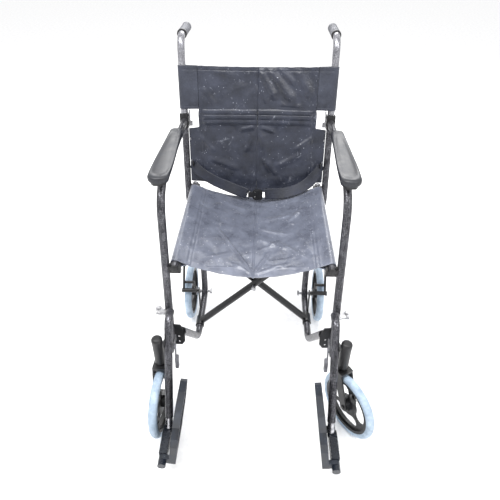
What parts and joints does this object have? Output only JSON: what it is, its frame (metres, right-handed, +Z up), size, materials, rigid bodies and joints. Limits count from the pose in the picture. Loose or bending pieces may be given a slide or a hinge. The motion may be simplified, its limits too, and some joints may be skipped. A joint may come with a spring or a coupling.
{
  "type": "transport wheelchair",
  "caption": "Folding transport wheelchair with a sling seat, fold-down back, padded arms, swivelling castors and footrests with flip-up plates.",
  "frame": {"origin": "on the floor, on the middle plane between the side frames, below the middle of the seat", "axes": "+Z up, -Y the way the chair faces, +X to the right as seen from in front of the chair"},
  "size_m": [0.6264, 1.0036, 0.947],
  "materials": {
    "frame_paint": "dark silver-vein powder coat",
    "cane_paint": "light silver-vein powder coat",
    "brace_black": "black powder coat",
    "fork_black": "black powder coat",
    "bracket_zinc": "zinc plated",
    "foot_metal": "plated tube with a black cast foot",
    "black_plastic": "moulded",
    "wheel_plastic": "moulded nylon",
    "footplate_plastic": "ribbed composite",
    "pad_vinyl": "soft vinyl over foam",
    "grip_rubber": "matt",
    "tyre_grey": "blue-grey solid polyurethane",
    "nylon": "woven nylon",
    "webbing": "woven polyester webbing"
  },
  "bodies": {
    "left_frame": {"left_arm_leg_tube": "frame_paint", "left_rear_post": "frame_paint", "left_lower_rail": "frame_paint", "left_frame_brackets": "brace_black", "left_seat_rail_guides": "black_plastic", "left_arm_pad_base": "black_plastic", "left_arm_pad": "pad_vinyl", "left_castor_housing": "black_plastic", "left_rear_axle": "bracket_zinc", "left_frame_bolts": "bracket_zinc", "back_lower_cloth": "nylon", "left_belt": "webbing", "belt_buckle": "black_plastic"},
    "right_frame": {"right_arm_leg_tube": "frame_paint", "right_rear_post": "frame_paint", "right_lower_rail": "frame_paint", "right_frame_brackets": "brace_black", "right_seat_rail_guides": "black_plastic", "right_arm_pad_base": "black_plastic", "right_arm_pad": "pad_vinyl", "right_castor_housing": "black_plastic", "right_rear_axle": "bracket_zinc", "right_frame_bolts": "bracket_zinc", "right_belt": "webbing"},
    "brace_front": {"left_cross_brace": "brace_black", "right_seat_rail": "frame_paint", "brace_pivot_bolt": "bracket_zinc", "seat_sling": "nylon"},
    "brace_rear": {"right_cross_brace": "brace_black", "left_seat_rail": "frame_paint"},
    "left_rear_wheel": {"left_rear_tyre": "tyre_grey", "left_rear_rim": "wheel_plastic"},
    "left_castor": {"left_castor_fork": "fork_black"},
    "left_castor_wheel": {"left_castor_tyre": "tyre_grey", "left_castor_rim": "wheel_plastic"},
    "left_wheel_lock": {"left_wheel_lock_lever": "fork_black"},
    "left_hanger": {"left_hanger": "frame_paint", "left_hanger_hook": "bracket_zinc"},
    "left_release_lever": {"left_release_lever": "grip_rubber"},
    "left_extension": {"left_footrest_extension": "foot_metal"},
    "left_footplate": {"left_footplate": "footplate_plastic"},
    "left_back": {"left_upper_cane": "cane_paint", "left_push_grip": "grip_rubber", "back_upper_cloth": "nylon"},
    "left_back_latch": {"left_back_latch": "bracket_zinc"},
    "right_rear_wheel": {"right_rear_tyre": "tyre_grey", "right_rear_rim": "wheel_plastic"},
    "right_castor": {"right_castor_fork": "fork_black"},
    "right_castor_wheel": {"right_castor_tyre": "tyre_grey", "right_castor_rim": "wheel_plastic"},
    "right_wheel_lock": {"right_wheel_lock_lever": "fork_black"},
    "right_hanger": {"right_hanger": "frame_paint", "right_hanger_hook": "bracket_zinc"},
    "right_release_lever": {"right_release_lever": "grip_rubber"},
    "right_extension": {"right_footrest_extension": "foot_metal"},
    "right_footplate": {"right_footplate": "footplate_plastic"},
    "right_back": {"right_upper_cane": "cane_paint", "right_push_grip": "grip_rubber"},
    "right_back_latch": {"right_back_latch": "bracket_zinc"}
  },
  "joints": [
    {"name": "chair_fold", "type": "hinge", "parent": "left_frame", "child": "brace_front", "pos_m": [-0.185, -0.0675, 0.08842], "axis": [0, -1, 0], "range_deg": [0, 31], "deforming": ["seat_sling", "back_upper_cloth", "back_lower_cloth", "left_belt", "right_belt"]},
    {"name": "brace_scissor", "type": "hinge", "parent": "brace_front", "child": "brace_rear", "pos_m": [0, -0.055, 0.26809], "axis": [0, 1, 0], "range_deg": [0, 62]},
    {"name": "right_frame_square", "type": "hinge", "parent": "brace_rear", "child": "right_frame", "pos_m": [0.185, -0.0425, 0.08842], "axis": [0, -1, 0], "range_deg": [0, 31]},
    {"name": "left_back_fold", "type": "hinge", "parent": "left_frame", "child": "left_back", "pos_m": [-0.235, 0.2633, 0.7014], "axis": [-1, 0, 0], "range_deg": [0, 110]},
    {"name": "left_back_catch", "type": "hinge", "parent": "left_frame", "child": "left_back_latch", "pos_m": [-0.2185, 0.24743, 0.68201], "axis": [1, 0, 0], "range_deg": [0, 15], "stiffness_Nm_per_rad": 0.3},
    {"name": "left_rear_wheel_spin", "type": "hinge", "parent": "left_frame", "child": "left_rear_wheel", "pos_m": [-0.233, 0.07682, 0.1016], "axis": [1, 0, 0], "continuous": true},
    {"name": "left_castor_swivel", "type": "hinge", "parent": "left_frame", "child": "left_castor", "pos_m": [-0.256, -0.351, 0.214], "axis": [0, 0, -1], "range_deg": [-2, 232]},
    {"name": "left_castor_wheel_spin", "type": "hinge", "parent": "left_castor", "child": "left_castor_wheel", "pos_m": [-0.25846, -0.39794, 0.1016], "axis": [0.9986, -0.0523, 0], "continuous": true},
    {"name": "left_wheel_lock", "type": "hinge", "parent": "left_frame", "child": "left_wheel_lock", "pos_m": [-0.22, -0.008, 0.18], "axis": [-1, 0, 0], "range_deg": [0, 24]},
    {"name": "left_hanger_lift", "type": "slide", "parent": "left_frame", "child": "left_hanger", "axis": [0, 0, 1], "range_m": [0, 0.03]},
    {"name": "left_hanger_release", "type": "hinge", "parent": "left_hanger", "child": "left_release_lever", "pos_m": [-0.212, -0.338, 0.27], "axis": [1, 0, 0], "range_deg": [0, 18], "stiffness_Nm_per_rad": 0.3},
    {"name": "left_footrest_length", "type": "slide", "parent": "left_hanger", "child": "left_extension", "axis": [0, 0.4713, 0.882], "range_m": [-0.025, 0.02]},
    {"name": "left_footplate_flip", "type": "hinge", "parent": "left_extension", "child": "left_footplate", "pos_m": [-0.231, -0.5, 0.062], "axis": [0, -1, 0], "range_deg": [-82, 0]},
    {"name": "right_back_fold", "type": "hinge", "parent": "right_frame", "child": "right_back", "pos_m": [0.235, 0.2633, 0.7014], "axis": [-1, 0, 0], "range_deg": [0, 110]},
    {"name": "right_back_catch", "type": "hinge", "parent": "right_frame", "child": "right_back_latch", "pos_m": [0.2185, 0.24743, 0.68201], "axis": [1, 0, 0], "range_deg": [0, 15], "stiffness_Nm_per_rad": 0.3},
    {"name": "right_rear_wheel_spin", "type": "hinge", "parent": "right_frame", "child": "right_rear_wheel", "pos_m": [0.233, 0.07682, 0.1016], "axis": [1, 0, 0], "continuous": true},
    {"name": "right_castor_swivel", "type": "hinge", "parent": "right_frame", "child": "right_castor", "pos_m": [0.256, -0.351, 0.214], "axis": [0, 0, 1], "range_deg": [-31, 203]},
    {"name": "right_castor_wheel_spin", "type": "hinge", "parent": "right_castor", "child": "right_castor_wheel", "pos_m": [0.28091, -0.39086, 0.1016], "axis": [0.848, 0.5299, 0], "continuous": true},
    {"name": "right_wheel_lock", "type": "hinge", "parent": "right_frame", "child": "right_wheel_lock", "pos_m": [0.22, -0.008, 0.18], "axis": [-1, 0, 0], "range_deg": [0, 24]},
    {"name": "right_hanger_lift", "type": "slide", "parent": "right_frame", "child": "right_hanger", "axis": [0, 0, 1], "range_m": [0, 0.03]},
    {"name": "right_hanger_release", "type": "hinge", "parent": "right_hanger", "child": "right_release_lever", "pos_m": [0.212, -0.338, 0.27], "axis": [1, 0, 0], "range_deg": [0, 18], "stiffness_Nm_per_rad": 0.3},
    {"name": "right_footrest_length", "type": "slide", "parent": "right_hanger", "child": "right_extension", "axis": [0, 0.4713, 0.882], "range_m": [-0.025, 0.02]},
    {"name": "right_footplate_flip", "type": "hinge", "parent": "right_extension", "child": "right_footplate", "pos_m": [0.231, -0.5, 0.062], "axis": [0, 1, 0], "range_deg": [-82, 0]}
  ],
  "couplings": [
    {"joint": "brace_scissor", "follows": "chair_fold", "ratio": 2},
    {"joint": "right_frame_square", "follows": "chair_fold", "ratio": 1},
    {"joint": "right_back_fold", "follows": "left_back_fold", "ratio": 1}
  ]
}
